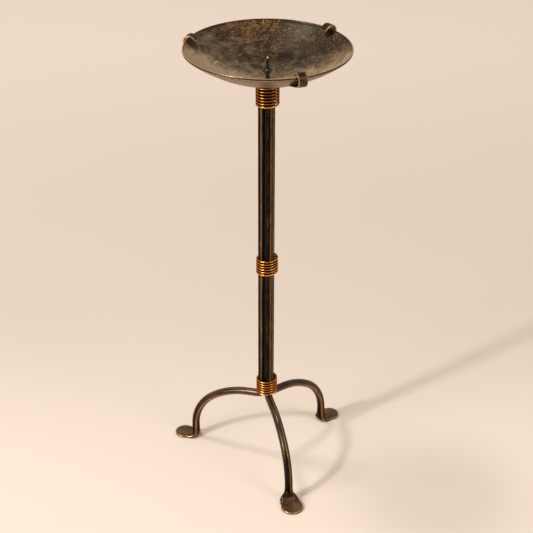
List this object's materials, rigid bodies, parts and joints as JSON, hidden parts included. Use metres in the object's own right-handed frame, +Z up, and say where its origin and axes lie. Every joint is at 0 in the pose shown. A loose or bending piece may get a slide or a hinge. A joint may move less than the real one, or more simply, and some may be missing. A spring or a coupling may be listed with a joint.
{
  "type": "candle stand",
  "caption": "Tall free-standing candle stand: forged bars bound by wire into a shaft, splayed legs with flat round feet, and a wide dished pan with a central spike.",
  "frame": {"origin": "on the floor, under the middle of the shaft", "axes": "+Z up along the shaft, -Y towards the viewer of the picture (front), +X to the viewer's right"},
  "size_m": [0.2776, 0.2782, 0.7134],
  "materials": {
    "bar_iron": "dark bronze patina over forged iron, rubbed through to copper colour along the edges",
    "copper_wire": null,
    "dish_sheet": "beaten sheet, mottled brown patina with gold speckles and a rubbed copper rim",
    "clip_strap": "dark bronze strap with rubbed copper edges",
    "spike_iron": "near black, satin, rubbed bright at the point"
  },
  "bodies": {
    "root": {"front_bar": "bar_iron", "right_bar": "bar_iron", "left_bar": "bar_iron", "lower_wrap": "copper_wire", "middle_wrap": "copper_wire", "upper_wrap": "copper_wire", "seat_plate": "bar_iron", "dish": "dish_sheet", "pricket_spike": "spike_iron", "spike_collar": "spike_iron", "front_clip": "clip_strap", "right_clip": "clip_strap", "left_clip": "clip_strap"}
  },
  "joints": []
}
